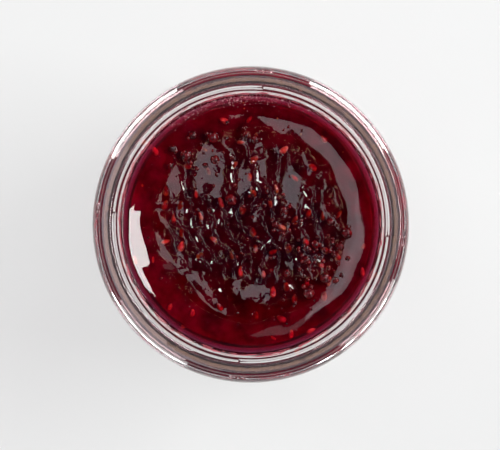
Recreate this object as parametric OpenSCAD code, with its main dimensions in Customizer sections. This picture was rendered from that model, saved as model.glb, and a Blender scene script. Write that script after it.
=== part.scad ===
// An open twist-off glass jar, filled with fruit jam up to its throat.
// The jar stands on z = 0 with its axis along Z. All sizes are in millimetres.

/* [Jar body] */
// Height from the table to the top of the rim
jar_h = 92; // [75:1:120]
// Outer diameter of the straight body
body_d = 72; // [70:0.5:80]
// Glass thickness of the body wall
body_wall = 2.5; // [1.8:0.1:3]
// Glass thickness at the bearing ring
base_t = 3.6; // [2.6:0.1:5]
// Radius of the heel, where the wall turns into the base
heel_r = 6.5; // [4.5:0.5:9]
// Width of the flat ring that the jar stands on
bearing_w = 3; // [2:0.5:5]
// Height of the hollow under the base
push_up_h = 2.4; // [1:0.2:3.6]
// How far the inside floor rises in its middle
floor_rise = 1.6; // [0.4:0.2:3]
// Height of the rounded shoulder below the neck
shoulder_h = 6; // [4:0.5:8]

/* [Twist-off finish] */
// Outer diameter of the finish between the lugs
finish_d = 66.4; // [65.5:0.1:67]
// Height from the top of the shoulder to the top of the rim
finish_h = 13.6; // [12.5:0.1:16]
// Diameter over the lugs that hold a cap
lug_d = 69; // [68:0.1:69.8]
// Number of lugs
lug_count = 4; // [3:1:6]
// Height of a lug at its root in the finish wall
lug_t = 3.2; // [2.4:0.1:3.6]
// Depth of the middle of the lugs below the rim
lug_depth = 5.4; // [5:0.1:6]
// Slope of the lugs, in degrees
lug_slope = 1.6; // [0:0.1:2]
// Gap between two lugs at their outer edge, in degrees
lug_gap = 5; // [2:0.5:12]
// How much further a lug reaches along the finish than along its outer edge, in degrees
lug_flare = 1.6; // [0:0.2:2]
// Angle of the first gap from +X, in degrees
first_gap = -5; // [-45:1:45]
// Diameter of the ring that carries the jar below the lugs
bead_d = 69; // [68:0.1:69.8]
// Height of that ring
bead_t = 2.6; // [2:0.1:3]
// Depth of the middle of that ring below the rim
bead_depth = 10.6; // [10.4:0.1:11]

/* [Mouth] */
// Diameter of the mouth at the inner edge of the flat rim
mouth_d = 61.8; // [61:0.1:62.6]
// Rounding of the inner edge of the rim
mouth_round = 0.9; // [0.6:0.1:2]
// Rounding of the outer edge of the rim
rim_round = 0.8; // [0.4:0.1:0.9]
// Inner diameter at the foot of the throat
throat_d = 56.4; // [55:0.1:58]
// Depth of the foot of the throat below the rim
throat_h = 14; // [13:0.5:16]
// Height of the inside curve from the throat out to the body
flare_h = 7; // [5:0.5:10]

/* [Jam] */
// Depth of the jam below the rim, where it meets the glass
jam_depth = 10.4; // [8:0.1:12]
// How far the jam climbs at the glass above its middle
climb_h = 2.3; // [1:0.1:4]
// How far in from the glass the climb has fallen to about a third
climb_reach = 3.1; // [2:0.1:4]
// Height of the lumps in the middle
lump_h = 0.45; // [0:0.05:0.8]
// Distance from one lump to the next
lump_pitch = 9; // [7:0.5:14]
// Height of the folds on the near side
fold_h = 0.7; // [0:0.1:1.2]
// Half width of a fold
fold_w = 1.8; // [1.4:0.1:3]
// Clearance between the jam and the glass
jam_fit = 0.03; // [0.02:0.01:0.1]

/* [Hidden] */
body_r = body_d / 2;
inner_r = body_r - body_wall;
neck_r = finish_d / 2;
mouth_r = mouth_d / 2;
throat_r = throat_d / 2;
shoulder_z = jar_h - finish_h - shoulder_h;
throat_z = jar_h - throat_h;
bearing_out_r = body_r - heel_r;
bearing_in_r = bearing_out_r - bearing_w;
inner_heel_r = heel_r - body_wall + 1;
// Steps along a rounding, and points round the axis
arc_steps = 8;
round_fn = 96;
// How far a cutting shape runs past the face it opens
past = 2;
// How deep a lug is rooted in the wall of the finish
lug_root = 1.4;
// The jam's mesh: points in a ring, and rings over the floor, up the glass and over the top
jam_fn = 72;
floor_rings = 4;
wall_step = 14;
top_rings = 17;
// Where the two folds of the jam pass, and how far each one bends and runs
near_fold = [-1, -10, 5, 9];
side_fold = [-12, -9, 4, 7];

// Points of an ellipse's arc about [cx, cz], from the angle a to the angle b
function arc(cx, cz, rx, rz, a, b, n = arc_steps) =
    [for (i = [0 : n]) let (t = a + (b - a) * i / n) [cx + rx * cos(t), cz + rz * sin(t)]];

// Half of an S curve, which leaves 0 and meets 1 with no slope
function ease(t) = (1 - cos(180 * min(max(t, 0), 1))) / 2;

// Height of the hollow under the base: an arc of a circle over the bearing ring, flat in the middle
hollow_r = (bearing_in_r * bearing_in_r + push_up_h * push_up_h) / (2 * push_up_h);
hollow_step = bearing_in_r / arc_steps;
function hollow_z(r) = push_up_h - hollow_r + sqrt(pow(hollow_r, 2) - pow(max(r, hollow_step), 2));

// Outline of the glass, from the middle of the base to the top of the rim
outside = concat(
    [for (i = [0 : arc_steps]) [hollow_step * i, hollow_z(hollow_step * i)]],
    arc(bearing_out_r, heel_r, heel_r, heel_r, -90, 0),
    arc(neck_r, shoulder_z, body_r - neck_r, shoulder_h, 0, 90),
    arc(neck_r, jar_h - bead_depth, bead_d / 2 - neck_r, bead_t / 2, -90, 90),
    arc(neck_r - rim_round, jar_h - rim_round, rim_round, rim_round, 0, 90),
    [[0, jar_h]]
);

// Outline of the inside, from the middle of the floor, which is flat there, up to the mouth
floor_edge_r = inner_r - inner_heel_r;
function floor_z(i) = base_t + floor_rise * (1 - pow(max(i, 1) / floor_rings, 2));
wall_profile = concat(
    [for (i = [0 : floor_rings - 1]) [floor_edge_r * i / floor_rings, floor_z(i)]],
    arc(floor_edge_r, base_t + inner_heel_r, inner_heel_r, inner_heel_r, -90, 0),
    [for (i = [0 : arc_steps]) let (t = i / arc_steps)
        [inner_r + (throat_r - inner_r) * ease(t), throat_z - flare_h * (1 - t)]],
    [for (a = [0 : 90 / arc_steps : 90])
        [mouth_r - mouth_round * cos(a), jar_h - mouth_round * (1 - sin(a))]]
);
inside = concat(wall_profile, [[mouth_r, jar_h + past], [0, jar_h + past]]);

// Radius of the inside at a height above the floor's edge
side_profile = [for (i = [floor_rings + 1 : len(wall_profile) - 1]) [wall_profile[i][1], wall_profile[i][0]]];
function inside_r(z) = lookup(z, side_profile);

// The jam's top. It climbs at the glass, is lumpy in the middle and folded on the near side.
edge_z = jar_h - jam_depth;
edge_r = inside_r(edge_z) - jam_fit;
middle_z = edge_z - climb_h;
calm_w = 3 * climb_reach;
function climb(r) = climb_h * exp((r - edge_r) / climb_reach);
function calm(r) = 1 - ease((r - (edge_r - calm_w)) / calm_w);
function lumps(x, y) = lump_h * sin(x * 360 / lump_pitch + 40 * sin(y * 360 / lump_pitch / 1.6))
    * cos(y * 360 / lump_pitch + 60 * sin(x * 360 / lump_pitch / 2.3));
function bell(d, w) = exp(-d * d / (w * w));
function fold(x, y, f) = fold_h * bell(x - f[0], f[3])
    * bell(y - f[1] + f[2] * (1 - bell(x - f[0], f[3])), fold_w);
function jam_z(x, y) = let (r = norm([x, y])) middle_z + climb(r)
    + calm(r) * (lumps(x, y) + fold(x, y, near_fold) + fold(x, y, side_fold));

// The jam as rings of points: over the floor, up the glass, and back to the middle of the top
jam_side = concat(
    [for (i = [1 : len(wall_profile) - 1]) let (p = wall_profile[i])
        if (p[1] < edge_z - 1 && p[1] < throat_z - flare_h * 0.999 && p[0] <= inner_r * 0.9999) p],
    [for (z = [base_t + inner_heel_r : wall_step : throat_z - flare_h - 1]) [inner_r, z]],
    [for (i = [0 : arc_steps]) let (z = throat_z - flare_h * (1 - i / arc_steps))
        [inside_r(z), z]],
    [[inside_r(edge_z), edge_z]]
);
function ring_at(r, z, lift) = [for (i = [0 : jam_fn - 1])
    let (a = 360 * i / jam_fn, x = r * cos(a), y = r * sin(a)) [x, y, lift ? jam_z(x, y) : z]];
function top_ring_r(i) = edge_r * (1 - i / top_rings);
jam_rings = concat(
    [for (p = jam_side) ring_at(p[0] - jam_fit, p[1] + (p[0] < inner_r ? jam_fit : 0), false)],
    [for (i = [1 : top_rings - 1]) ring_at(top_ring_r(i), 0, true)]
);
ring_count = len(jam_rings);
jam_points = concat(
    [[0, 0, floor_z(0) + jam_fit]],
    [for (ring = jam_rings) each ring],
    [[0, 0, jam_z(0, 0)]]
);
function at(ring, i) = 1 + ring * jam_fn + i % jam_fn;
last = len(jam_points) - 1;
jam_faces = concat(
    [for (i = [0 : jam_fn - 1]) [0, at(0, i), at(0, i + 1)]],
    [for (k = [0 : ring_count - 2], i = [0 : jam_fn - 1]) each [
        [at(k, i), at(k + 1, i), at(k + 1, i + 1)],
        [at(k, i), at(k + 1, i + 1), at(k, i + 1)]
    ]],
    [for (i = [0 : jam_fn - 1]) [last, at(ring_count - 1, i + 1), at(ring_count - 1, i)]]
);

// Outline of a lug, rooted in the finish wall and rounded where a cap's claw slides under it
module lug_outline() {
    root_r = neck_r - lug_root;
    polygon(arc(root_r, 0, lug_d / 2 - root_r, lug_t / 2, -90, 90));
}

// The space that one lug may fill, seen from above. Its ends widen towards the finish wall.
module lug_sector() {
    half = 180 / lug_count - lug_gap / 2;
    far = lug_d / 2 + past;
    near = neck_r - 1.5 * lug_root;
    steps = 12;
    polygon(concat(
        [for (i = [0 : steps]) let (a = half * (2 * i / steps - 1)) far * [cos(a), sin(a)]],
        [for (i = [steps : -1 : 0]) let (a = (half + lug_flare) * (2 * i / steps - 1))
            near * [cos(a), sin(a)]]
    ));
}

// One sloping lug of the thread, with its middle on +X
module lug() {
    intersection() {
        translate([0, 0, jar_h - lug_depth])
            rotate([lug_slope, 0, 0])
                rotate([0, 0, 180])
                    rotate_extrude($fn = round_fn) lug_outline();
        translate([0, 0, jar_h - lug_depth - 2 * lug_t])
            linear_extrude(4 * lug_t) lug_sector();
    }
}

// The pressed glass jar: base, body, shoulder, neck and the twist-off finish
module jar() {
    color([0.84, 0.90, 0.90, 0.4])
    rotate([0, 0, first_gap])
    difference() {
        union() {
            rotate_extrude($fn = round_fn) polygon(outside);
            for (i = [0 : lug_count - 1])
                rotate([0, 0, 360 / lug_count * (i + 0.5)]) lug();
        }
        rotate_extrude($fn = round_fn) polygon(inside);
    }
}

// The jam that fills the jar, with the top as the spoon and the filling left it
module jam() {
    color([0.27, 0.01, 0.03])
        polyhedron(points = jam_points, faces = jam_faces, convexity = 4);
}

jar();
jam();
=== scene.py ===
import math
import random

import bpy
import numpy as np
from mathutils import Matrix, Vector, noise


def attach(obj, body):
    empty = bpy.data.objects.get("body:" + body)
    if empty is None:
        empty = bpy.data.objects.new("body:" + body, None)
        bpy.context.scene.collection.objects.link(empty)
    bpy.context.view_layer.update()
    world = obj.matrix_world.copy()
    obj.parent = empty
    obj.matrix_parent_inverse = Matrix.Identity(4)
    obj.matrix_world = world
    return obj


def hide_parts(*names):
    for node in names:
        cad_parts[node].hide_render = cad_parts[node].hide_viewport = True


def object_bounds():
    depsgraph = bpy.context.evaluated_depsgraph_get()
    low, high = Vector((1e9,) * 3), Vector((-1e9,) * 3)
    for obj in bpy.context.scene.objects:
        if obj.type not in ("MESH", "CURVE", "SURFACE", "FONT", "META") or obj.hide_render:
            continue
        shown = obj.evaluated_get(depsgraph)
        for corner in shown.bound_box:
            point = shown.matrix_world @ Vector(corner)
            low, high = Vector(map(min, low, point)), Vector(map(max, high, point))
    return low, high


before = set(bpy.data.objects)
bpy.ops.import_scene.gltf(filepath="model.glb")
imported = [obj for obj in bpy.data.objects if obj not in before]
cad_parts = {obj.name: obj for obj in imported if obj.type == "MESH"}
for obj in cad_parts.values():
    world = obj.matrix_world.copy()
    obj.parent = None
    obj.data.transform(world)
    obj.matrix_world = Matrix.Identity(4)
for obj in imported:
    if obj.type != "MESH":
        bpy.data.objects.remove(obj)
cad_low, cad_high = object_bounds()

# ---- The view and the studio ------------------------------------------------------------------
# The jar stands on a pale table and is seen from straight above its mouth. A tall softbox on the
# right is the key light, two dim panels hang over the left side, and four boxes stand round it.
MM = 0.001
RIM_Z = cad_high.z
BODY_R = cad_high.x
CAMERA_OVER_RIM = 450 * MM
VIEW_WIDTH_AT_RIM = 109 * MM
CAMERA_OFF_AXIS = (-0.17 * MM, -0.13 * MM)

camera = bpy.data.objects.new("camera", bpy.data.cameras.new("camera"))
bpy.context.scene.collection.objects.link(camera)
camera.location = (*CAMERA_OFF_AXIS, RIM_Z + CAMERA_OVER_RIM)
camera.data.lens = camera.data.sensor_width * CAMERA_OVER_RIM / VIEW_WIDTH_AT_RIM
camera.data.clip_start = 0.01
camera.data.clip_end = 20
bpy.context.scene.camera = camera

scene = bpy.context.scene
scene.view_settings.view_transform = "Standard"
scene.view_settings.look = "None"
scene.cycles.max_bounces = 24
scene.cycles.transmission_bounces = 20
scene.cycles.transparent_max_bounces = 24
scene.cycles.glossy_bounces = 8


def softbox(name, azimuth, elevation, distance, width, height, radiance, tint=(1, 1, 1)):
    """A flat rectangular light that faces the jar. azimuth 0 is on the right, and 90 at the top."""
    data = bpy.data.lights.new(name, "AREA")
    data.shape = "RECTANGLE"
    data.size = width
    data.size_y = height
    data.energy = radiance * math.pi * width * height
    data.color = tint
    box = bpy.data.objects.new(name, data)
    scene.collection.objects.link(box)
    a, e = math.radians(azimuth), math.radians(elevation)
    way = Vector((math.cos(a) * math.cos(e), math.sin(a) * math.cos(e), math.sin(e)))
    box.location = Vector((0, 0, RIM_Z)) + way * distance
    box.rotation_mode = "QUATERNION"
    box.rotation_quaternion = way.to_track_quat("Z", "Y")
    box.visible_camera = False
    return box


softbox("key_light", 12, 49, 0.9, 0.48, 0.25, 20)
softbox("over_panel", 193, 77, 1.0, 0.66, 0.31, 2.75, (1.0, 0.84, 0.92))
softbox("over_panel_far", 143, 74, 1.03, 0.6, 0.16, 0.8, (1.0, 0.9, 1.0))
softbox("upper_left_box", 135, 8, 0.9, 0.58, 0.2, 20)
softbox("upper_right_box", 47, 8, 0.9, 0.62, 0.2, 20)
softbox("lower_left_box", -133, 8, 0.9, 0.55, 0.2, 8)
softbox("lower_right_box", -38, 8, 0.9, 0.5, 0.2, 8)

# The room is dim overhead and paler near the horizon, with a brownish ring round the camera
world = bpy.data.worlds.new("studio")
world.use_nodes = True
room = world.node_tree
direction = room.nodes.new("ShaderNodeTexCoord")
parts = room.nodes.new("ShaderNodeSeparateXYZ")
room.links.new(direction.outputs["Generated"], parts.inputs[0])
tilt = room.nodes.new("ShaderNodeMath")
tilt.operation = "ARCCOSINE"
room.links.new(parts.outputs["Z"], tilt.inputs[0])
degrees = room.nodes.new("ShaderNodeMath")
degrees.operation = "DIVIDE"
degrees.inputs[1].default_value = math.pi / 2
room.links.new(tilt.outputs[0], degrees.inputs[0])
ramp = room.nodes.new("ShaderNodeValToRGB")
room.links.new(degrees.outputs[0], ramp.inputs[0])
stops = [
    (0.0, (0, 0, 0)),
    (3.7, (0.004, 0.0015, 0.008)),
    (3.85, (0.95, 0.55, 0.38)),
    (4.35, (0.95, 0.57, 0.4)),
    (4.6, (0.0055, 0.002, 0.012)),
    (42, (0.0055, 0.002, 0.012)),
    (56, (0.07, 0.04, 0.06)),
    (76, (0.084, 0.056, 0.074)),
    (82, (0.035, 0.035, 0.04)),
]
while len(ramp.color_ramp.elements) < len(stops):
    ramp.color_ramp.elements.new(0.5)
for element, (angle, color) in zip(ramp.color_ramp.elements, stops):
    element.position = angle / 90
    element.color = (*color, 1)
sky = room.nodes["Background"]
room.links.new(ramp.outputs[0], sky.inputs["Color"])
sky.inputs["Strength"].default_value = 4.0
scene.world = world

FLOOR_HALF = 3.0
floor_mesh = bpy.data.meshes.new("table_top")
floor_mesh.from_pydata(
    [(x * FLOOR_HALF, y * FLOOR_HALF, 0) for x, y in ((-1, -1), (1, -1), (1, 1), (-1, 1))],
    [],
    [(0, 1, 2, 3)],
)
floor = bpy.data.objects.new("table_top", floor_mesh)
scene.collection.objects.link(floor)
floor_paint = bpy.data.materials.new("pale_table")
floor_paint.use_nodes = True
floor_paint.node_tree.nodes["Principled BSDF"].inputs["Base Color"].default_value = (0.24, 0.25, 0.245, 1)
floor_paint.node_tree.nodes["Principled BSDF"].inputs["Roughness"].default_value = 0.9
floor_paint.node_tree.nodes["Principled BSDF"].inputs["Specular IOR Level"].default_value = 0.0
floor_paint.node_tree.nodes["Principled BSDF"].inputs["Emission Color"].default_value = (0.98, 1.0, 0.985, 1)
floor_paint.node_tree.nodes["Principled BSDF"].inputs["Emission Strength"].default_value = 0.57
floor_mesh.materials.append(floor_paint)

# ---- The glass jar ----------------------------------------------------------------------------
# A jar of clear soda-lime glass, pressed and blown in one piece. The plunger leaves a tapered
# throat and a rounded mouth, and the mould leaves four sloping lugs that hold a twist-off cap.
BODY_WALL = 2.5 * MM
BASE_T = 3.6 * MM
HEEL_R = 6.5 * MM
BEARING_W = 3 * MM
PUSH_UP_H = 2.4 * MM
FLOOR_RISE = 1.6 * MM
SHOULDER_H = 6 * MM
NECK_R = 33.2 * MM
FINISH_H = 13.6 * MM
LUG_R = 34.5 * MM
LUG_COUNT = 4
LUG_HALF_T = 1.45 * MM
LUG_DEPTH = 5.4 * MM
LUG_SLOPE = math.radians(1.6)
LUG_GAP = math.radians(5)
FIRST_GAP = math.radians(-5)
GAP_RIDGE = 0.9
UPPER_FACE_RUN = 0.72
LOWER_FACE_START = 0.28
LOWER_FACE_RUN = 1.28
LOWER_FACE_CURVE = 2.5
LUG_NOSE_SHARPNESS = 9
BEAD_R = 34.5 * MM
BEAD_HALF_T = 1.3 * MM
BEAD_DEPTH = 10.6 * MM
MOUTH_R = 30.9 * MM
MOUTH_ROUND = 0.9 * MM
MOUTH_ROUND_H = 1.4 * MM
RIM_ROUND = 0.8 * MM
THROAT_R = 28.2 * MM
THROAT_H = 14 * MM
FLARE_H = 7 * MM
INNER_R = BODY_R - BODY_WALL
INNER_HEEL_R = HEEL_R - BODY_WALL + 1 * MM
SHOULDER_Z = RIM_Z - FINISH_H - SHOULDER_H
THROAT_Z = RIM_Z - THROAT_H
NECK_STEPS = 52
RIM_STEPS = 8


def arc(cx, cz, rx, rz, a, b, n):
    """Points of an ellipse's arc about (cx, cz), from the angle a to b in degrees."""
    t = np.radians(np.linspace(a, b, n + 1))
    return np.stack([cx + rx * np.cos(t), cz + rz * np.sin(t)], axis=1)


def line(start, end, n):
    """n steps from start, which is left out, to end."""
    t = np.linspace(0, 1, n + 1)[1:, None]
    return np.array(start) * (1 - t) + np.array(end) * t


def ring_mesh(name, rings):
    """A closed skin over rings of points (ring, point, xyz), with a point to cap each end."""
    count, around, _ = rings.shape
    points = rings.reshape(-1, 3)
    k = np.arange(count - 1)[:, None] * around
    i = np.arange(around)[None, :]
    j = (i + 1) % around
    quads = np.stack([k + i, k + j, k + around + j, k + around + i], axis=-1).reshape(-1, 4)
    faces = quads.tolist()
    i, j = i[0], j[0]
    points = points.tolist()
    points.append(rings[0].mean(axis=0).tolist())
    faces += np.stack([np.full(around, len(points) - 1), j, i], axis=-1).tolist()
    points.append(rings[-1].mean(axis=0).tolist())
    top = (count - 1) * around
    faces += np.stack([np.full(around, len(points) - 1), top + i, top + j], axis=-1).tolist()
    mesh = bpy.data.meshes.new(name)
    mesh.from_pydata(points, [], faces)
    mesh.shade_smooth()
    mesh.update()
    return mesh


def add_piece(name, mesh, slot, *stands_for):
    """Puts a mesh in the scene, riding on the jar's one body."""
    piece = bpy.data.objects.new(name, mesh)
    scene.collection.objects.link(piece)
    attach(piece, "root")
    if stands_for:
        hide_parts(*stands_for)
    return piece


bearing_out = BODY_R - HEEL_R
bearing_in = bearing_out - BEARING_W
hollow_r = (bearing_in**2 + PUSH_UP_H**2) / (2 * PUSH_UP_H)
hollow = np.linspace(0.03, 1, 9) * bearing_in
underside = np.stack([hollow, PUSH_UP_H - hollow_r + np.sqrt(hollow_r**2 - hollow**2)], axis=1)
finish_foot = RIM_Z - BEAD_DEPTH + BEAD_HALF_T
outside = np.concatenate([
    underside,
    line((bearing_in, 0), (bearing_out, 0), 2),
    arc(bearing_out, HEEL_R, HEEL_R, HEEL_R, -90, 0, 14)[1:],
    line((BODY_R, HEEL_R), (BODY_R, SHOULDER_Z), 10),
    arc(NECK_R + 0.4 * MM, SHOULDER_Z, BODY_R - NECK_R - 0.4 * MM, SHOULDER_H, 0, 84, 16)[1:],
    line((NECK_R + 0.5 * MM, SHOULDER_Z + SHOULDER_H), (NECK_R, SHOULDER_Z + SHOULDER_H + 0.5 * MM), 3),
    arc(NECK_R, RIM_Z - BEAD_DEPTH, BEAD_R - NECK_R, BEAD_HALF_T, -90, 90, 14),
    line((NECK_R, finish_foot), (NECK_R, RIM_Z - RIM_ROUND), NECK_STEPS),
    arc(NECK_R - RIM_ROUND, RIM_Z - RIM_ROUND, RIM_ROUND, RIM_ROUND, 0, 90, RIM_STEPS)[1:],
])
floor_edge = INNER_R - INNER_HEEL_R
inside_floor = np.linspace(1, 0.03, 7)[1:] * floor_edge
inside = np.concatenate([
    line((NECK_R - RIM_ROUND, RIM_Z), (MOUTH_R, RIM_Z), 4),
    arc(MOUTH_R, RIM_Z - MOUTH_ROUND_H, -MOUTH_ROUND, MOUTH_ROUND_H, 90, 0, 12)[1:],
    line((MOUTH_R - MOUTH_ROUND, RIM_Z - MOUTH_ROUND_H), (THROAT_R, THROAT_Z), 12),
    [
        (INNER_R + (THROAT_R - INNER_R) * (1 + math.cos(math.pi * t)) / 2, THROAT_Z - FLARE_H * t)
        for t in np.linspace(0, 1, 15)[1:]
    ],
    line((INNER_R, THROAT_Z - FLARE_H), (INNER_R, BASE_T + INNER_HEEL_R), 8),
    arc(floor_edge, BASE_T + INNER_HEEL_R, INNER_HEEL_R, INNER_HEEL_R, 0, -90, 10)[1:],
    np.stack([inside_floor, BASE_T + FLOOR_RISE * (1 - (inside_floor / floor_edge) ** 2)], axis=1),
])
profile = np.concatenate([outside, inside])

JAR_COLUMNS = 480
turn = np.linspace(0, 2 * math.pi, JAR_COLUMNS, endpoint=False)
radius = np.repeat(profile[:, 0][:, None], JAR_COLUMNS, axis=1)
height = np.repeat(profile[:, 1][:, None], JAR_COLUMNS, axis=1)
# How far round its lug each column is, from -1 at one end to 1 at the other
lug_turn = 2 * math.pi / LUG_COUNT
along = (turn - FIRST_GAP) % lug_turn - lug_turn / 2
end_fade = np.clip((lug_turn / 2 - LUG_GAP * 0.25 - np.abs(along)) / (LUG_GAP * 0.5), 0, 1)
end_fade = end_fade * end_fade * (3 - 2 * end_fade)
lug_z = RIM_Z - LUG_DEPTH + NECK_R * np.sin(along) * math.sin(LUG_SLOPE)
first_row = len(outside) - RIM_STEPS - NECK_STEPS
rows = np.arange(first_row, first_row + NECK_STEPS - 2)
across = (height[rows] - lug_z[None, :]) / LUG_HALF_T
# A straight sloping face above a rounded nose, and a fuller curve below it
upper_face = (1 - across) / UPPER_FACE_RUN
lower_face = 1 - (np.clip(LOWER_FACE_START - across, 0, None) / LOWER_FACE_RUN) ** LOWER_FACE_CURVE
both_faces = np.exp(-LUG_NOSE_SHARPNESS * upper_face) + np.exp(-LUG_NOSE_SHARPNESS * lower_face)
swell = np.clip(-np.log(both_faces) / LUG_NOSE_SHARPNESS, 0, 1)
# Between two lugs a lower ridge runs on along their underside
ridge = GAP_RIDGE * (1 - np.clip(across / 0.5, 0, 1))
radius[rows] += (LUG_R - NECK_R) * swell * np.maximum(end_fade[None, :], ridge)
jar_rings = np.stack([radius * np.cos(turn), radius * np.sin(turn), height], axis=-1)
jar = add_piece("glass_jar", ring_mesh("glass_jar", jar_rings), "clear_glass", "jar")


def new_material(name):
    """A material with its Principled shader and its output."""
    made = bpy.data.materials.new(name)
    made.use_nodes = True
    tree = made.node_tree
    return made, tree, tree.nodes["Principled BSDF"], tree.nodes["Material Output"]


def let_lamps_through(tree, shader, output, tint):
    """Lamps shine straight through this shader, tinted, instead of leaving a black shadow."""
    path = tree.nodes.new("ShaderNodeLightPath")
    clear = tree.nodes.new("ShaderNodeBsdfTransparent")
    clear.inputs["Color"].default_value = (*tint, 1)
    mix = tree.nodes.new("ShaderNodeMixShader")
    tree.links.new(path.outputs["Is Shadow Ray"], mix.inputs[0])
    tree.links.new(shader.outputs[0], mix.inputs[1])
    tree.links.new(clear.outputs[0], mix.inputs[2])
    tree.links.new(mix.outputs[0], output.inputs["Surface"])


def absorb(tree, output, per_metre):
    """Fills a material with stuff that takes away red, green and blue light at these rates."""
    most = max(per_metre)
    soak = tree.nodes.new("ShaderNodeVolumeAbsorption")
    soak.inputs["Color"].default_value = (*[1 - rate / most for rate in per_metre], 1)
    soak.inputs["Density"].default_value = most
    tree.links.new(soak.outputs[0], output.inputs["Volume"])


def bumps(tree, shader, scale, distance, strength=1.0, detail=2.0):
    """Fine unevenness of a surface, from a noise of this many waves a metre."""
    where = tree.nodes.new("ShaderNodeTexCoord")
    waves = tree.nodes.new("ShaderNodeTexNoise")
    waves.inputs["Scale"].default_value = scale
    waves.inputs["Detail"].default_value = detail
    bump = tree.nodes.new("ShaderNodeBump")
    bump.inputs["Strength"].default_value = strength
    bump.inputs["Distance"].default_value = distance
    tree.links.new(where.outputs["Object"], waves.inputs["Vector"])
    tree.links.new(waves.outputs[0], bump.inputs["Height"])
    tree.links.new(bump.outputs[0], shader.inputs["Normal"])
    return waves


def two_tones(tree, shader, waves, low, low_color, high, high_color):
    """Colours a surface from one tone to another, by where its noise lies between low and high."""
    ramp = tree.nodes.new("ShaderNodeValToRGB")
    ramp.color_ramp.elements[0].position = low
    ramp.color_ramp.elements[0].color = (*low_color, 1)
    ramp.color_ramp.elements[1].position = high
    ramp.color_ramp.elements[1].color = (*high_color, 1)
    tree.links.new(waves.outputs[0], ramp.inputs[0])
    tree.links.new(ramp.outputs[0], shader.inputs["Base Color"])


glass, tree, shader, output = new_material("clear_glass")
shader.inputs["Base Color"].default_value = (0.97, 0.98, 0.98, 1)
shader.inputs["Roughness"].default_value = 0.0
shader.inputs["IOR"].default_value = 1.52
shader.inputs["Transmission Weight"].default_value = 1.0
bumps(tree, shader, 140, 0.05 * MM, 0.5)
absorb(tree, output, (4.0, 5.0, 6.0))
let_lamps_through(tree, shader, output, (0.95, 0.95, 0.95))
jar.data.materials.append(glass)

# ---- The jam ----------------------------------------------------------------------------------
# A clear, dark red berry gel that fills the jar and wets the glass. It climbs a little at the
# wall, and its skin is lumpy in the middle where pips, juice sacs and bubbles crowd under it.
JAM_DEPTH = 10.4 * MM
WETS_IN = 0.07 * MM
EDGE_SLOPE = 0.75
EDGE_REACH = 3.1 * MM
EDGE_Z = RIM_Z - JAM_DEPTH
EDGE_R = THROAT_R + (MOUTH_R - MOUTH_ROUND - THROAT_R) * (THROAT_H - JAM_DEPTH) / (THROAT_H - MOUTH_ROUND)
MIDDLE_Z = EDGE_Z - EDGE_SLOPE * EDGE_REACH
CREASE_IN = 7 * MM
ROUGH_R = 20 * MM
SHELF_W = 3.6 * MM
SHELF_H = 0.3 * MM
LUMP_COUNT = 26
LUMPS_FROM_Y = -11 * MM
LEFT_SINK = 0.34 * MM

rng = random.Random(7)


def smooth_step(low, high, x):
    t = np.clip((x - low) / (high - low), 0, 1)
    return t * t * (3 - 2 * t)


def noise_at(x, y, scale, seed):
    """Smooth noise from -1 to 1 with features about scale wide."""
    flat = [noise.noise(Vector((a / scale, b / scale, seed))) for a, b in zip(x.ravel(), y.ravel())]
    return np.array(flat).reshape(x.shape)


# Broad flat places that lean: middle, half sizes, and rise to the right and away from the viewer
leans = [
    ((-9.4, 11.5), (4.6, 5.8), (0.065, 0.0)),
    ((-17.0, 10.3), (2.3, 2.8), (0.07, 0.0)),
    ((2.6, 14.2), (1.5, 3.6), (0.07, 0.0)),
    ((9.2, 8.4), (3.4, 4.8), (0.07, 0.0)),
    ((-1.5, 9.5), (2.6, 3.2), (0.05, -0.03)),
    ((6.0, 18.6), (2.6, 2.4), (0.06, -0.05)),
    ((3.5, -14.3), (4.6, 2.0), (0.05, 0.01)),
    ((-10.0, -14.2), (3.2, 1.5), (0.06, 0.03)),
]
# Places where the skin is more stirred up or calmer: middle, half sizes and how many times as much
stirred = [
    ((-11.5, 0.5), (6.0, 6.0), 1.7),
    ((14.5, 2.0), (5.5, 8.5), 1.3),
    ((12.0, 15.0), (4.0, 4.5), 1.5),
    ((2.6, -4.3), (7.5, 5.5), 0.15),
]
# Fruit lumps under the skin: place, half length, half width, turn and height
lumps = []
while len(lumps) < LUMP_COUNT:
    x, y = rng.uniform(-1, 1) * ROUGH_R, rng.uniform(-1, 1) * ROUGH_R
    if math.hypot(x, y) < ROUGH_R and y > LUMPS_FROM_Y:
        long = rng.uniform(0.8, 1.6) * MM
        wide = long * rng.uniform(0.6, 0.95)
        angle = rng.uniform(0, math.pi)
        lumps.append((x, y, long, wide, angle, long * rng.uniform(0.1, 0.2)))
# Folds that the spoon left on the near side
lumps += [
    (3.0 * MM, -14.5 * MM, 7.5 * MM, 3.0 * MM, -0.05, 0.45 * MM),
    (-9.0 * MM, -15.0 * MM, 7.0 * MM, 2.6 * MM, -0.75, 0.4 * MM),
    (-13.0 * MM, -9.5 * MM, 9.0 * MM, 1.8 * MM, -0.55, 0.22 * MM),
]


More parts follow.
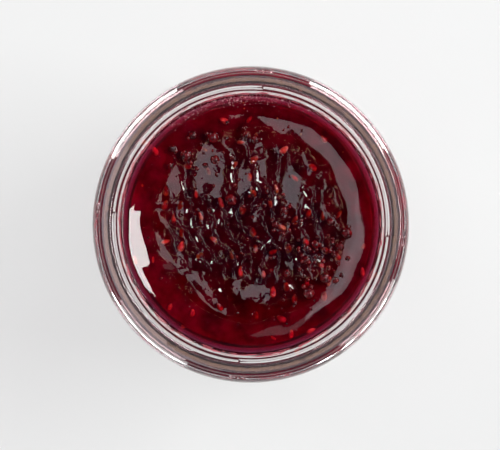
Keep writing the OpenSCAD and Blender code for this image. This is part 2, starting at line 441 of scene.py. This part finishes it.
def skin_z(x, y):
    """Height of the jam's skin."""
    r = np.hypot(x, y)
    from_edge = EDGE_R - r + 0.9 * MM * noise_at(x, y, 7 * MM, 30.3) * smooth_step(0, 5 * MM, EDGE_R - r)
    # The climb ends at a soft crease, inside which the skin is level but for its lumps
    climb = EDGE_SLOPE * EDGE_REACH * np.exp(-from_edge / EDGE_REACH)
    level = EDGE_SLOPE * EDGE_REACH * math.exp(-CREASE_IN / EDGE_REACH)
    z = MIDDLE_Z + np.maximum(climb, level)
    wx = x + 0.9 * MM * noise_at(x, y, 2.2 * MM, 3.1) + 0.35 * MM * noise_at(x, y, 0.9 * MM, 4.1)
    wy = y + 0.9 * MM * noise_at(x, y, 2.2 * MM, 8.4) + 0.35 * MM * noise_at(x, y, 0.9 * MM, 9.4)
    # At the left the climb keeps its slope for longer
    at_left = smooth_step(-11, -8, y / MM) * (1 - smooth_step(3, 5, y / MM)) * (x < 0)
    sunk = smooth_step(2.2 * MM, 5.4 * MM, from_edge) * np.clip((30 * MM - from_edge) / (11 * MM), 0, 1)
    z -= LEFT_SINK * at_left * sunk
    rough = (1 - smooth_step(0.7, 1.1, np.hypot(wx, wy) / ROUGH_R)) * smooth_step(-13 * MM, -9 * MM, wy)
    ragged = 0.22 * noise_at(x, y * 0.6, 0.9 * MM, 14.2)
    leaning = np.zeros_like(x)
    for (cx, cy), (half_x, half_y), (rise_x, rise_y) in leans:
        far_out = np.hypot((wx / MM - cx) / half_x, (wy / MM - cy) / half_y)
        height = rise_x * (x - cx * MM) + rise_y * (y - cy * MM)
        z += height * (1 - smooth_step(0.6, 1.5, far_out))
        leaning = np.maximum(leaning, 1 - smooth_step(0.85, 1.1, far_out + ragged))
    relief = np.zeros_like(x)
    for lx, ly, long, wide, angle, tall in lumps:
        c, s = math.cos(angle), math.sin(angle)
        u = ((wx - lx) * c + (wy - ly) * s) / long
        v = ((wy - ly) * c - (wx - lx) * s) / wide
        relief += tall * np.clip(1 - u * u - v * v, 0, 1) ** 1.5
    z += relief * (1 - smooth_step(0.8, 0.97, r / EDGE_R))
    # Fine ripples over the crushed fruit, drawn out away from the viewer, and stronger in places
    busy = np.ones_like(x)
    for (cx, cy), (half_x, half_y), more in stirred:
        far_out = np.hypot((wx / MM - cx) / half_x, (wy / MM - cy) / half_y)
        busy += (more - 1) * (1 - smooth_step(0.6, 1.2, far_out))
    ripple = 0.09 * noise_at(x, y * 0.6, 1.25 * MM, 1.7) + 0.03 * noise_at(x, y * 0.8, 0.6 * MM, 5.2)
    # The fruit lies in shelves that dip to the right and step up again
    across = ((wx + 0.3 * wy) / SHELF_W + 0.9 * noise_at(x, y * 0.8, 5 * MM, 12.3)) % 1
    shelf = np.where(across < 0.8, 0.5 - across / 0.8, (across - 0.9) / 0.2)
    z += rough * (1 - leaning) * (busy * ripple * MM + SHELF_H * shelf)
    return z


JAM_COLUMNS = 480
TOP_RINGS = 152
turn = np.linspace(0, 2 * math.pi, JAM_COLUMNS, endpoint=False)


def inside_radius(z):
    """Radius of the inside of the glass at a height."""
    return np.interp(z, inside[::-1, 1], inside[::-1, 0])


wall_rows = inside[inside[:, 1] < EDGE_Z][::-1]
side = np.concatenate([
    wall_rows + np.array([0, -WETS_IN])[None, :] * (wall_rows[:, :1] < floor_edge * 1.01),
    [(EDGE_R, EDGE_Z)],
])
side[:, 0] += WETS_IN * (side[:, 1] > BASE_T + 1 * MM)
top_r = EDGE_R * np.linspace(1, 0.004, TOP_RINGS) ** 0.9
side_rings = np.stack([
    side[:, :1] * np.cos(turn),
    side[:, :1] * np.sin(turn),
    np.repeat(side[:, 1:], JAM_COLUMNS, axis=1),
], axis=-1)
top_x, top_y = top_r[:, None] * np.cos(turn), top_r[:, None] * np.sin(turn)
top_rings = np.stack([top_x, top_y, skin_z(top_x, top_y)], axis=-1)
jam_mesh = ring_mesh("jam_fill", np.concatenate([side_rings, top_rings]))
jam = add_piece("jam_fill", jam_mesh, "jam_gel", "jam")

gel, tree, shader, output = new_material("jam_gel")
shader.inputs["Base Color"].default_value = (1.0, 0.86, 0.88, 1)
shader.inputs["Roughness"].default_value = 0.02
shader.inputs["IOR"].default_value = 1.44
shader.inputs["Transmission Weight"].default_value = 1.0
bumps(tree, shader, 900, 0.02 * MM, 0.4)
absorb(tree, output, (230, 2200, 1050))
let_lamps_through(tree, shader, output, (0.95, 0.9, 0.9))
jam.data.materials.append(gel)

# ---- The pulp ---------------------------------------------------------------------------------
# Crushed berry flesh that hangs in the gel, too dense to see through. It starts about 4 mm under
# the skin in the middle and 1.5 mm near the edge, and 1.3 mm behind the glass.
PULP_UNDER_SKIN = 3.6 * MM
PULP_BEHIND_GLASS = 1.3 * MM
PULP_COLUMNS = 200
PULP_RINGS = 70
turn = np.linspace(0, 2 * math.pi, PULP_COLUMNS, endpoint=False)
pulp_side = side[1:] - np.array([PULP_BEHIND_GLASS, 0])[None, :]
pulp_side = pulp_side[(pulp_side[:, 1] < EDGE_Z - PULP_UNDER_SKIN)]
pulp_side[:, 1] = np.maximum(pulp_side[:, 1], BASE_T + FLOOR_RISE + 0.6 * MM)
pulp_r = (EDGE_R - PULP_BEHIND_GLASS) * np.linspace(1, 0.01, PULP_RINGS)
pulp_x, pulp_y = pulp_r[:, None] * np.cos(turn), pulp_r[:, None] * np.sin(turn)
pulp_under = PULP_UNDER_SKIN * (1 - 0.58 * smooth_step(12 * MM, 24 * MM, np.hypot(pulp_x, pulp_y)))
pulp_z = skin_z(pulp_x, pulp_y) - pulp_under + 0.7 * MM * noise_at(pulp_x, pulp_y, 4 * MM, 6.6)
pulp_rings = np.concatenate([
    np.stack([
        pulp_side[:, :1] * np.cos(turn),
        pulp_side[:, :1] * np.sin(turn),
        np.repeat(pulp_side[:, 1:], PULP_COLUMNS, axis=1),
    ], axis=-1),
    np.stack([pulp_x, pulp_y, pulp_z], axis=-1),
])
pulp = add_piece("pulp", ring_mesh("pulp", pulp_rings), "jam_gel")
flesh, tree, shader, output = new_material("berry_pulp")
shader.inputs["Roughness"].default_value = 0.6
shader.inputs["Specular IOR Level"].default_value = 0.1
waves = bumps(tree, shader, 260, 0.4 * MM, 0.6, 4.0)
two_tones(tree, shader, waves, 0.35, (0.06, 0.0014, 0.014), 0.7, (0.17, 0.007, 0.045))
pulp.data.materials.append(flesh)

# ---- The seeds --------------------------------------------------------------------------------
# Berry pips, hard and straw-coloured, about 2 mm long and a little flattened. Some lie at all
# angles under the skin, and more lie flat against the glass round the side.
SEED_L, SEED_W, SEED_T = 1.15 * MM, 0.68 * MM, 0.5 * MM
SEED_COUNT = 80
SEEDS_AT_GLASS = 240
SEED_APART = 3.1 * MM
SEEDS_WITHIN_R = 27.6 * MM


def scatter_mesh(name, shape_points, shape_faces, places):
    """One mesh of many copies of a shape. Each place is a 3 by 3 matrix and a point."""
    points, faces = [], []
    base = np.array(shape_points)
    for matrix, at in places:
        start = len(points)
        points += (base @ np.array(matrix).T + np.array(at)).tolist()
        faces += [[start + i for i in face] for face in shape_faces]
    mesh = bpy.data.meshes.new(name)
    mesh.from_pydata(points, [], faces)
    mesh.shade_smooth()
    return mesh


def globe(around, rings):
    """A unit ball as points and faces."""
    points = [(0, 0, -1)]
    for k in range(1, rings):
        b = -math.pi / 2 + math.pi * k / rings
        for i in range(around):
            a = 2 * math.pi * i / around
            points.append((math.cos(b) * math.cos(a), math.cos(b) * math.sin(a), math.sin(b)))
    points.append((0, 0, 1))
    last = len(points) - 1
    faces = [(0, 1 + (i + 1) % around, 1 + i) for i in range(around)]
    for k in range(rings - 2):
        for i in range(around):
            a, b = 1 + k * around + i, 1 + k * around + (i + 1) % around
            faces.append((a, b, b + around, a + around))
    top = 1 + (rings - 2) * around
    faces += [(top + i, top + (i + 1) % around, last) for i in range(around)]
    return points, faces


def turned(yaw, pitch, roll, sizes):
    """A matrix that stretches a unit shape to sizes and turns it."""
    cy, sy = math.cos(yaw), math.sin(yaw)
    cp, sp = math.cos(pitch), math.sin(pitch)
    cr, sr = math.cos(roll), math.sin(roll)
    rz = np.array([[cy, -sy, 0], [sy, cy, 0], [0, 0, 1]])
    ry = np.array([[cp, 0, sp], [0, 1, 0], [-sp, 0, cp]])
    rx = np.array([[1, 0, 0], [0, cr, -sr], [0, sr, cr]])
    return rz @ ry @ rx @ np.diag(sizes)


def one_z(x, y):
    return float(skin_z(np.array([x]), np.array([y]))[0])


def lowest_z(x, y, reach):
    """The lowest that the skin comes within this reach."""
    steps = np.array([(0, 0), (1, 0), (-1, 0), (0, 1), (0, -1)]) * reach
    return float(skin_z(x + steps[:, 0], y + steps[:, 1]).min())


seed_points, seed_faces = globe(16, 10)
# A pip is drawn out to a blunt point at one end
seed_points = [(x, y * (1 - 0.22 * x), z * (1 - 0.22 * x)) for x, y, z in seed_points]
seed_spots = []
while len(seed_spots) < SEED_COUNT:
    r, a = SEEDS_WITHIN_R * math.sqrt(rng.random()), rng.uniform(0, 2 * math.pi)
    spot = (r * math.cos(a), r * math.sin(a))
    if all(math.dist(spot, other) > SEED_APART for other in seed_spots):
        seed_spots.append(spot)
places = []
for x, y in seed_spots:
    under = (0.75 + 2.0 * rng.random()) * MM
    size = rng.uniform(0.85, 1.1)
    matrix = turned(
        math.pi / 2 + rng.gauss(0, 0.7),
        rng.uniform(-0.5, 0.5),
        rng.uniform(0, 3),
        (SEED_L * size, SEED_W * size, SEED_T * size),
    )
    places.append((matrix, (x, y, lowest_z(x, y, 0.9 * MM) - under)))
# More pips lie flat against the glass all the way round
for _ in range(SEEDS_AT_GLASS):
    a, z = rng.uniform(0, 2 * math.pi), rng.uniform(BASE_T + 6 * MM, SHOULDER_Z - 6 * MM)
    r = float(inside_radius(z)) - rng.uniform(0.7, 1.1) * MM
    size = rng.uniform(0.85, 1.1)
    lying = turned(0, math.pi / 2, 0, (SEED_L * size, SEED_W * size, SEED_T * size))
    matrix = turned(a, 0, rng.uniform(0, math.pi), (1, 1, 1)) @ lying
    places.append((matrix, (r * math.cos(a), r * math.sin(a), z)))
seeds = add_piece("seeds", scatter_mesh("seeds", seed_points, seed_faces, places), "jam_gel")
husk, tree, shader, output = new_material("seed_husk")
shader.inputs["Roughness"].default_value = 0.5
waves = bumps(tree, shader, 1100, 0.05 * MM, 0.6, 3.0)
two_tones(tree, shader, waves, 0.32, (0.16, 0.03, 0.006), 0.62, (0.5, 0.28, 0.06))
seeds.data.materials.append(husk)

# ---- The juice sacs -----------------------------------------------------------------------------
# Single sacs of the berries and small bubbles stand half out of the skin, each under a film of
# gel. They are round, dark red and wet, and crowd together over the crushed fruit.
CROWDS_WITHIN_R = 24 * MM

# Large sacs: place and radius
big_sacs = [
    (21.5, -2.0, 1.35),
    (20.0, -5.0, 1.0),
    (18.0, 0.5, 0.9),
    (14.5, -4.5, 1.0),
    (16.5, -12.0, 1.2),
    (19.0, -12.5, 0.8),
    (13.0, -15.5, 1.4),
    (12.5, -8.0, 0.9),
    (8.0, -11.0, 0.9),
    (7.5, 3.0, 1.0),
    (5.5, 0.0, 0.8),
    (-4.5, 5.5, 1.3),
    (1.0, 19.0, 1.0),
    (-1.0, 20.0, 0.8),
    (-8.5, 19.5, 1.4),
    (-8.0, 14.5, 1.1),
    (-13.0, 20.0, 1.0),
    (-14.5, 15.5, 1.4),
    (-17.5, 17.0, 0.9),
]
sac_points, sac_faces = globe(18, 11)
places = []
for x, y, radius in big_sacs:
    places.append((np.diag([radius * MM] * 3), (x * MM, y * MM, one_z(x * MM, y * MM) - 0.25 * radius * MM)))
# Crowds of sacs and bubbles: middle of the crowd, its spread, how many, and their radius
crowds = [
    ((-15, 17), 4.0, 22, 0.5),
    ((-5, 18), 4.5, 22, 0.4),
    ((3, 7), 4.5, 30, 0.35),
    ((8, 3), 3.0, 34, 0.35),
    ((17, -5), 3.4, 44, 0.5),
    ((-13, 2), 4.5, 30, 0.3),
    ((-3, -3), 8.0, 40, 0.3),
    ((9, 19), 4.5, 20, 0.3),
    ((11, -9), 4.5, 34, 0.4),
    ((0, 0), 13.0, 60, 0.25),
]
for (cx, cy), spread, count, usual in crowds:
    for _ in range(count):
        x, y = rng.gauss(cx, spread) * MM, rng.gauss(cy, spread) * MM
        radius = usual * rng.uniform(0.5, 1.5) * MM
        if math.hypot(x, y) < CROWDS_WITHIN_R:
            squash = rng.uniform(0.75, 1.0)
            yaw = rng.uniform(0, 3)
            matrix = turned(yaw, 0, 0, (radius, radius * rng.uniform(0.8, 1.0), radius * squash))
            places.append((matrix, (x, y, one_z(x, y) - rng.uniform(0.0, 0.5) * radius)))
sacs = add_piece("juice_sacs", scatter_mesh("juice_sacs", sac_points, sac_faces, places), "jam_gel")
juice, tree, shader, output = new_material("sac_juice")
shader.inputs["Roughness"].default_value = 0.02
shader.inputs["Specular IOR Level"].default_value = 0.3
waves = bumps(tree, shader, 900, 0.01 * MM, 0.15)
two_tones(tree, shader, waves, 0.4, (0.018, 0.0003, 0.0008), 0.65, (0.08, 0.0008, 0.002))
sacs.data.materials.append(juice)

# ---- The foam -----------------------------------------------------------------------------------
# Fine air bubbles that rose while the jam was hot. Most sit in the skin along the far edge, and
# the rest are strewn over it. Their pale tone is a painted highlight that stands in for the light each one
# catches.
FOAM_COUNT = 420
STREWN_COUNT = 160
STREWN_WITHIN_R = 26 * MM
foam_points, foam_faces = globe(8, 5)
places = []
for _ in range(FOAM_COUNT):
    a = math.radians(rng.triangular(62, 138, 100))
    r = EDGE_R - abs(rng.gauss(0.1, 0.9)) * MM
    x, y = r * math.cos(a), r * math.sin(a)
    radius = rng.uniform(0.04, 0.14) * MM
    places.append((np.diag([radius] * 3), (x, y, one_z(x, y) + rng.uniform(-0.3, 0.3) * radius)))
for _ in range(STREWN_COUNT):
    a, r = rng.uniform(0, 2 * math.pi), STREWN_WITHIN_R * math.sqrt(rng.random())
    x, y = r * math.cos(a), r * math.sin(a)
    radius = rng.uniform(0.05, 0.12) * MM
    places.append((np.diag([radius] * 3), (x, y, one_z(x, y) + 0.1 * radius)))
foam = add_piece("foam", scatter_mesh("foam", foam_points, foam_faces, places), "jam_gel")
froth, tree, shader, output = new_material("foam_bubbles")
shader.inputs["Roughness"].default_value = 0.08
waves = bumps(tree, shader, 2500, 0.02 * MM, 0.4)
# The pale end of this ramp is a painted highlight, not a colour of the bubbles themselves.
two_tones(tree, shader, waves, 0.4, (0.06, 0.004, 0.008), 0.7, (0.6, 0.34, 0.38))
foam.data.materials.append(froth)

# ---- The smears ---------------------------------------------------------------------------------
# Thin streaks of jam that the filling left on the throat of the glass, just above the edge. They
# are flat drops drawn out along the wall.
SMEAR_COUNT = 260
places = []
for _ in range(SMEAR_COUNT):
    a = math.radians(rng.choice([rng.uniform(95, 200), rng.uniform(-65, 95), rng.uniform(200, 295)]))
    above = rng.triangular(0.3, 5.0, 3.0) * MM
    z = EDGE_Z + above
    r = float(inside_radius(z))
    thick, long, wide = rng.uniform(0.05, 0.13), rng.uniform(0.25, 1.8), rng.uniform(0.08, 0.25)
    matrix = turned(a, 0, 0, (thick * MM, long * MM, wide * MM))
    places.append((matrix, (r * math.cos(a), r * math.sin(a), z)))
smears = add_piece("smears", scatter_mesh("smears", seed_points, seed_faces, places), "jam_gel")
film, tree, shader, output = new_material("jam_film")
shader.inputs["Roughness"].default_value = 0.12
waves = bumps(tree, shader, 1500, 0.02 * MM, 0.4)
two_tones(tree, shader, waves, 0.0, (0.12, 0.004, 0.012), 1.0, (0.5, 0.12, 0.15))
smears.data.materials.append(film)
